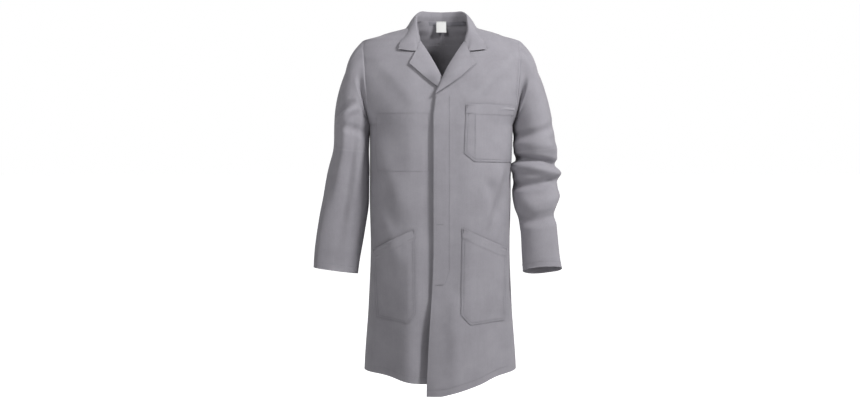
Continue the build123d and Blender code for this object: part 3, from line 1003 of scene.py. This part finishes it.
def build_strip(name, side, node_name, depth, inner, outer, top, low):
    """A strip inside a front, between two front-view lines, set back from the front's outside."""
    rows = []
    for t in shares(120):
        z = mix(top, low, t)
        row = []
        for s in shares(18):
            x = mix(inner(z), outer, s)
            fall = (hem_z(side, side * x) - HEM_SIDE + 0.004) * ease(BELOW_ARM, HEM_SIDE, z)
            row.append(front_point(side, side * x, z + fall, -depth))
        rows.append(row)
    piece = cloth(name, rows, 0.0009, flip=side > 0)
    dress(piece, SHADED_TWILL)
    fold_blend(piece)
    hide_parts(node_name)


def build_strips():
    """The two facings, the fly's carrier and the inner breast pocket."""
    build_strip("left_facing_cloth", LEFT, "left_front_facing", 0.0082,
                lambda z: 0.030, 0.082, BREAK.y - 0.02, HEM_SIDE)
    build_strip("right_facing_cloth", RIGHT, "right_front_facing", 0.0028,
                lambda z: front_edge(RIGHT, z) + 0.002, 0.080, BREAK.y - 0.02, HEM_SIDE)
    build_strip("fly_carrier_cloth", LEFT, "fly_carrier", 0.0041,
                lambda z: front_edge(LEFT, z) + 0.003, 0.027, BREAK.y - 0.014, -0.755)
    build_strip("inner_pocket_cloth", RIGHT, "inner_breast_pocket", 0.0044,
                lambda z: 0.042, 0.190, INNER_POCKET_TOP, INNER_POCKET_FOOT)


# ---- collar's inside, neck tape and label
def build_under_collar(collar_rows):
    """The collar's lower layer, inside the fold of the upper one."""
    rows = []
    for column in collar_rows:
        row = []
        for spot in column[19:39]:
            towards = Vector((-spot.x, 0.010 - spot.y, -0.012)).normalized()
            row.append(spot + towards * 0.0024)
        rows.append(row)
    piece = cloth("under_collar_cloth", rows, 0.0010, flip=True, offset=0)
    dress(piece, SHADED_TWILL)
    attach(piece, "coat")
    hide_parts("under_collar")


def neck_arc(z, inset, first, last, count):
    """Points round the inside of the back neck at a height, from one angle to another."""
    width, depth, middle, _ = section(z, LEFT)
    points = []
    for t in shares(count):
        turn = mix(first, last, t)
        x = (width - inset) * math.cos(turn)
        points.append(Vector((x, middle + (depth - inset) * math.sin(turn), z)))
    return points


def build_tape():
    """A tape over the neck seam at the back."""
    end = 0.15
    arcs = [neck_arc(z, 0.0024, end, PI - end, 60) for z in (0.027, 0.022, 0.016)]
    tape = cloth("neck_tape_cloth", arcs, 0.0008)
    dress(tape, SHADED_TWILL)
    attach(tape, "coat")
    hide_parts("neck_tape")


def build_label():
    """A blank label that hangs from the tape by its top edge."""
    rows = []
    for t in shares(24):
        z = mix(NECK_TOP, -0.005, t)
        row = []
        for s in shares(16):
            x = mix(-0.0155, 0.0142, s) + 0.0006 * t
            curl = 0.0014 * (2 * s - 1) ** 2 * t - 0.0020 * t ** 2
            row.append(Vector((x, 0.0555 + curl, z)))
        rows.append(row)
    label = cloth("neck_label_cloth", rows, 0.0005, offset=0)
    dress(label, LABEL)
    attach(label, "label")
    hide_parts("neck_label")
    forward = Vector((0, -1, 0))
    top = [(Vector((mix(-0.014, 0.0128, s), 0.0547, 0.0262)), forward) for s in shares(8)]
    stitches("label_stitches", [top], lambda made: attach(made, "label"))


# ---- stitch lines
def ring_path(rings, count_up):
    """A stitch path right round a sleeve, at a ring counted up from the cuff."""
    ring = rings[len(rings) - 1 - count_up]
    middle = ring_middle(ring)
    path = []
    for spot in ring + ring[:1]:
        out = (spot - middle).normalized()
        path.append((spot + out * 0.0004, out))
    return path


def seam_path(rings, first, last, turn):
    """A stitch path along a sleeve at a turn round it."""
    path = []
    step = int(turn / math.tau * RING) % RING
    for ring in rings[first:last]:
        out = (ring[step] - ring_middle(ring)).normalized()
        path.append((ring[step] + out * 0.0003, out))
    return path


def hem_path(side):
    """A front's hem line of stitches, above its lower edge."""
    rise = 0.020
    corners = []
    first = front_edge(side, -1.03) + 0.004
    for t in shares(23):
        x = mix(first, 0.200, t)
        corners.append((x, hem_z(side, side * x) + rise))
    return corners


def front_stitches(pocket_paths):
    """On the left: pockets, fly, hem and free edge; on the right: pockets, inner pocket and hem."""
    fly = [(FLY_X, BREAK.y - 0.012), (FLY_X, -0.700), (FLY_X - 0.012, -0.738), (-0.022, FLY_FOOT)]
    levels = [mix(BREAK.y - 0.01, -1.035, t) for t in shares(40)]
    edge = [(front_edge(LEFT, z) + 0.0018, z) for z in levels]
    pocket = [(0.040, INNER_POCKET_TOP), (0.040, INNER_POCKET_FOOT), (0.186, INNER_POCKET_FOOT),
              (0.190, INNER_POCKET_TOP), (0.040, INNER_POCKET_TOP)]
    for side, lines in ((LEFT, (fly, hem_path(LEFT), edge)), (RIGHT, (pocket, hem_path(RIGHT)))):
        paths = pocket_paths[side] + [on_front(side, line, 0.0005) for line in lines]
        stitches(f"{WORD[side]}_front_stitches", paths, lambda made, side=side: fold_blend(made))


def collar_stitches(lapel_edges, collar_rows):
    """Along the lapels' edges and the collar's."""
    for side, edge in lapel_edges.items():
        stitches(f"{WORD[side]}_lapel_stitches", [edge], lambda made, side=side: fold_blend(made))
    rims = []
    for column in collar_rows:
        spot = column[-3]
        off = Vector((spot.x, spot.y - 0.01, 0.01)).normalized() * 0.0012
        rims.append((spot + off, Vector((spot.x, spot.y - 0.01, 0.02)).normalized()))
    stitches("collar_stitches", [rims], lambda made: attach(made, "coat"))


def centre_back_stitches():
    """A line each side of the centre-back seam."""
    paths = []
    for shift in (-0.004, 0.004):
        path = []
        for t in shares(119):
            z = mix(0.010, -1.005, t)
            angle = -angle_at(LEFT, abs(shift), z)
            spot = back_point(LEFT if shift > 0 else RIGHT, angle, z)
            path.append((spot + Vector((0, 0.0004, 0)), Vector((0, 1, 0))))
        paths.append(path)
    stitches("centre_back_stitches", paths, lambda made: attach(made, "coat"))


def armhole_stitches(side):
    """Beside the armhole seam, on the body."""
    path = []
    for t in shares(59):
        z = mix(SHOULDER_Z - 0.006, UNDERARM_Z + 0.012, t)
        spot = front_point(side, side * (armhole_x(z) - 0.0055), z, 0.0004)
        path.append((spot, outward(spot)))
    stitches(f"{WORD[side]}_armhole_stitches", [path], lambda made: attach(made, "coat"))


def cuff_stitches(side, rings, meet):
    """Round the cuff's hem and down the outer back of the lower sleeve."""
    paths = [ring_path(rings, 5), seam_path(rings, meet, len(rings), 5.6)]
    stitches(f"{WORD[side]}_cuff_stitches", paths, lambda made: elbow_blend(made))


# ---- the whole coat
build_front(LEFT)
build_front(RIGHT)
build_back()
sleeves = {LEFT: build_sleeve(LEFT, LEFT_ARM), RIGHT: build_sleeve(RIGHT, RIGHT_ARM)}
lapel_edges = {side: build_lapel(side) for side in (LEFT, RIGHT)}
collar_rows = build_collar()
build_studio()
pocket_paths = build_pockets()
fly_tacks = [((-0.014, z), (0.002, z), 0.0002) for z in (-0.570, FLY_FOOT)]
build_bartacks(LEFT, tack_down(CHEST_MOUTH) + tack_down(LEFT_MOUTH) + fly_tacks)
build_bartacks(RIGHT, tack_down(RIGHT_MOUTH))
build_strips()
build_under_collar(collar_rows)
build_tape()
build_label()
front_stitches(pocket_paths)
collar_stitches(lapel_edges, collar_rows)
centre_back_stitches()
for side in (LEFT, RIGHT):
    armhole_stitches(side)
for side, (rings, meet) in sleeves.items():
    cuff_stitches(side, rings, meet)

# ---- press studs keep their own shapes
for name in ("fly_stud_caps", "fly_stud_sockets", "front_studs", "front_stud_posts"):
    stud = bpy.data.objects[name]
    stud.data.materials.clear()
    stud.data.materials.append(STUD)
